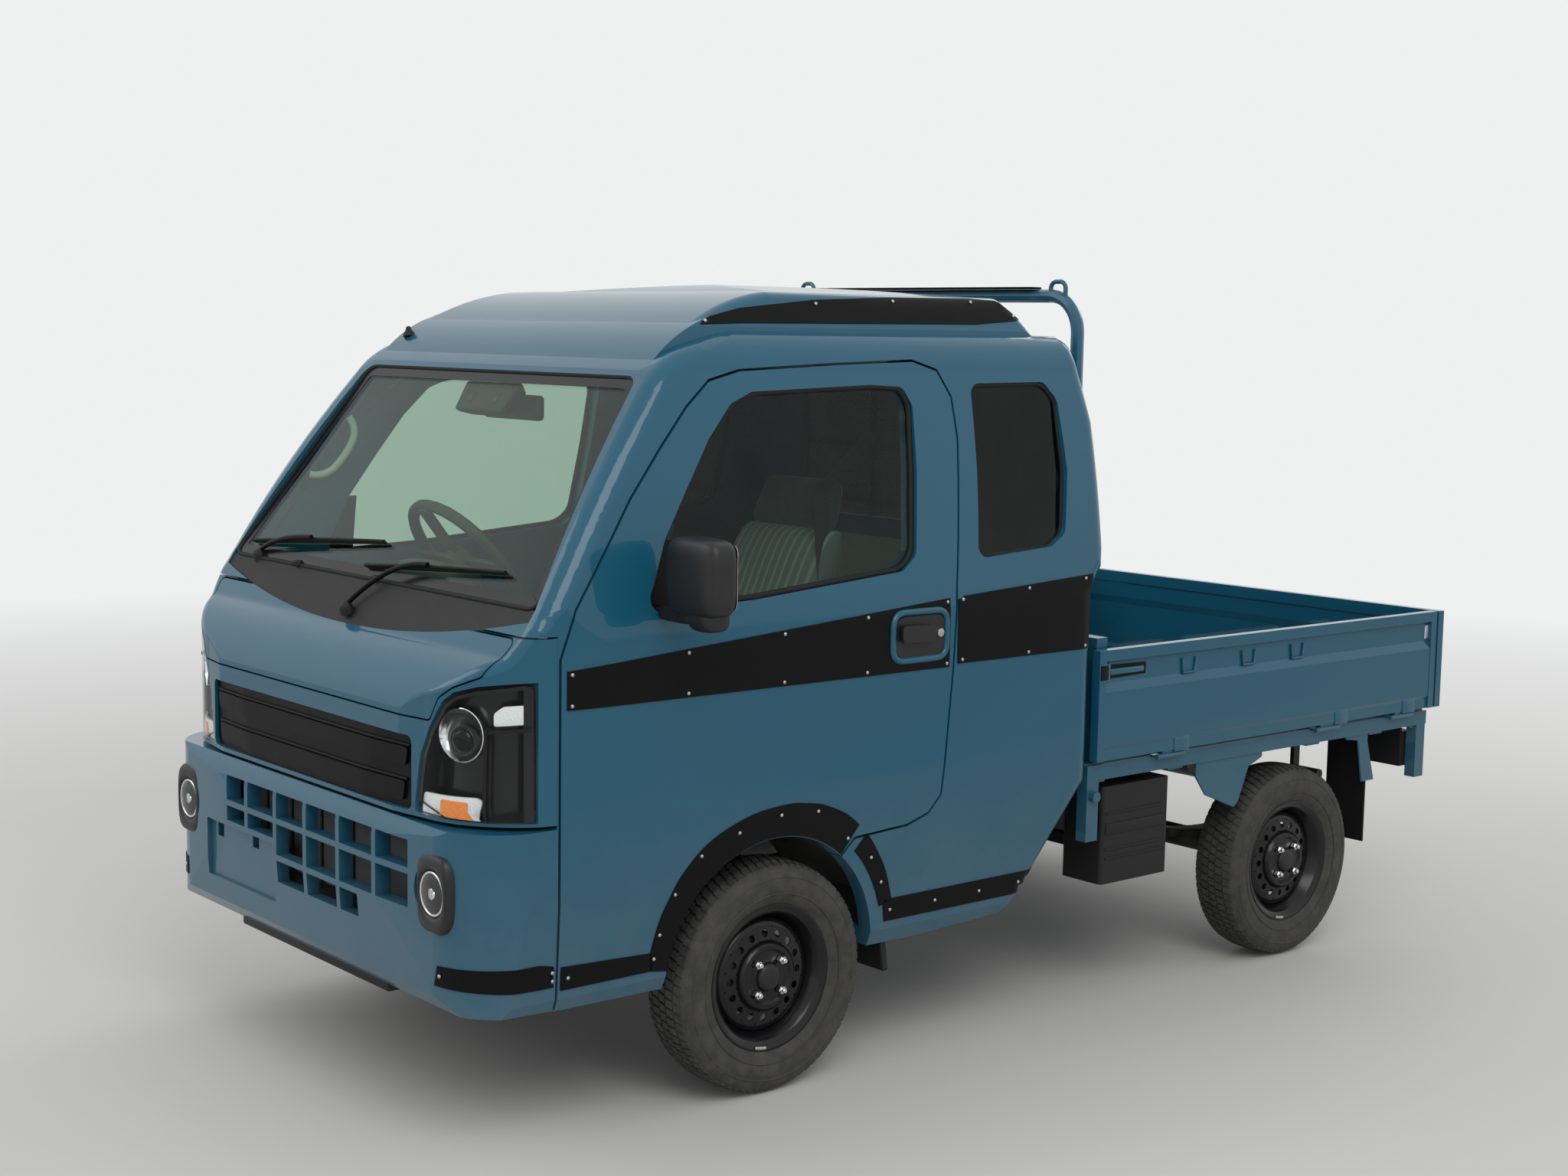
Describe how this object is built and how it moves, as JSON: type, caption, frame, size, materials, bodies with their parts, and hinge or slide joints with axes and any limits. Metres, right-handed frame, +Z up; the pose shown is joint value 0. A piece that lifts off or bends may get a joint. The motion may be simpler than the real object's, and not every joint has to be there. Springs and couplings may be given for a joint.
{
  "type": "kei truck",
  "caption": "Small forward-control truck with an extended step-in cab, opening doors, a drop-side bed, a guard frame behind the cab and steered front wheels.",
  "frame": {"origin": "on the ground at the centre of the truck's length and width", "axes": "+Z up, -Y to the nose, +X to the truck's left"},
  "size_m": [1.899, 3.395, 1.885],
  "materials": {
    "body_teal": "gloss",
    "frame_black": "satin",
    "black_plastic": "grained",
    "grey_plastic": "grained",
    "lamp_lens": "clear",
    "red_lens": "gloss",
    "window_glass": "green tint",
    "dark_glass": "dark tint",
    "seat_cloth": "woven stripes",
    "cast_metal": "as cast",
    "bare_steel": "dull",
    "black_rubber": "matt",
    "wheel_black": "gloss",
    "tyre_rubber": "matt"
  },
  "bodies": {
    "root": {"chassis_frame": "frame_black", "cab_floor": "body_teal", "cab_sides": "body_teal", "roof_panel": "body_teal", "cab_rear_wall": "body_teal", "front_panel": "body_teal", "hood_lid": "body_teal", "cowl_panel": "black_plastic", "front_bumper": "body_teal", "grille_insert": "black_plastic", "headlamps": "lamp_lens", "fog_lamps": "lamp_lens", "windscreen": "window_glass", "rear_window": "window_glass", "quarter_windows": "dark_glass", "dashboard": "grey_plastic", "seats": "seat_cloth", "front_suspension": "frame_black", "rear_axle": "frame_black", "drivetrain": "cast_metal", "battery_box": "black_plastic", "fuel_tank": "frame_black", "muffler": "bare_steel", "bed_frame": "body_teal", "bed_floor": "body_teal", "guard_frame": "body_teal", "tail_lamps": "red_lens", "mud_flaps": "black_rubber"},
    "door_left": {"door_left": "body_teal", "door_glass_left": "window_glass", "mirror_left": "black_plastic"},
    "gate_left": {"gate_left": "body_teal"},
    "knuckle_left": {"knuckle_left": "cast_metal"},
    "wheel_front_left": {"wheel_front_left": "wheel_black", "tyre_front_left": "tyre_rubber"},
    "wheel_rear_left": {"wheel_rear_left": "wheel_black", "tyre_rear_left": "tyre_rubber"},
    "door_right": {"door_right": "body_teal", "door_glass_right": "window_glass", "mirror_right": "black_plastic"},
    "gate_right": {"gate_right": "body_teal"},
    "knuckle_right": {"knuckle_right": "cast_metal"},
    "wheel_front_right": {"wheel_front_right": "wheel_black", "tyre_front_right": "tyre_rubber"},
    "wheel_rear_right": {"wheel_rear_right": "wheel_black", "tyre_rear_right": "tyre_rubber"},
    "tailgate": {"tailgate": "body_teal"},
    "steering_wheel": {"steering_wheel": "black_plastic"}
  },
  "joints": [
    {"name": "steer_left", "type": "hinge", "parent": "root", "child": "knuckle_left", "pos_m": [0.535, -0.8725, 0.2705], "axis": [0, 0, 1], "range_deg": [-32, 32]},
    {"name": "steer_right", "type": "hinge", "parent": "root", "child": "knuckle_right", "pos_m": [-0.535, -0.8725, 0.2705], "axis": [0, 0, 1], "range_deg": [-32, 32]},
    {"name": "roll_front_left", "type": "hinge", "parent": "knuckle_left", "child": "wheel_front_left", "pos_m": [0.6525, -0.8725, 0.2705], "axis": [1, 0, 0], "continuous": true},
    {"name": "roll_rear_left", "type": "hinge", "parent": "root", "child": "wheel_rear_left", "pos_m": [0.65, 1.0325, 0.2705], "axis": [1, 0, 0], "continuous": true},
    {"name": "roll_front_right", "type": "hinge", "parent": "knuckle_right", "child": "wheel_front_right", "pos_m": [-0.6525, -0.8725, 0.2705], "axis": [1, 0, 0], "continuous": true},
    {"name": "roll_rear_right", "type": "hinge", "parent": "root", "child": "wheel_rear_right", "pos_m": [-0.65, 1.0325, 0.2705], "axis": [1, 0, 0], "continuous": true},
    {"name": "steering_turn", "type": "hinge", "parent": "root", "child": "steering_wheel", "pos_m": [-0.33, -1.0425, 1.15], "axis": [0, 0.788, 0.6157], "range_deg": [-520, 520]},
    {"name": "door_left_hinge", "type": "hinge", "parent": "root", "child": "door_left", "pos_m": [0.729, -1.4645, 0.7], "axis": [0, 0, -1], "range_deg": [0, 65]},
    {"name": "gate_left_hinge", "type": "hinge", "parent": "root", "child": "gate_left", "pos_m": [0.729, 0.424, 0.641], "axis": [0, 1, 0], "range_deg": [0, 168]},
    {"name": "door_right_hinge", "type": "hinge", "parent": "root", "child": "door_right", "pos_m": [-0.729, -1.4645, 0.7], "axis": [0, 0, 1], "range_deg": [0, 65]},
    {"name": "gate_right_hinge", "type": "hinge", "parent": "root", "child": "gate_right", "pos_m": [-0.729, 0.424, 0.641], "axis": [0, -1, 0], "range_deg": [0, 168]},
    {"name": "tailgate_hinge", "type": "hinge", "parent": "root", "child": "tailgate", "pos_m": [0, 1.689, 0.641], "axis": [-1, 0, 0], "range_deg": [0, 168]}
  ],
  "couplings": [
    {"joint": "steer_right", "follows": "steer_left", "ratio": 1},
    {"joint": "steering_turn", "follows": "steer_left", "ratio": 16}
  ]
}
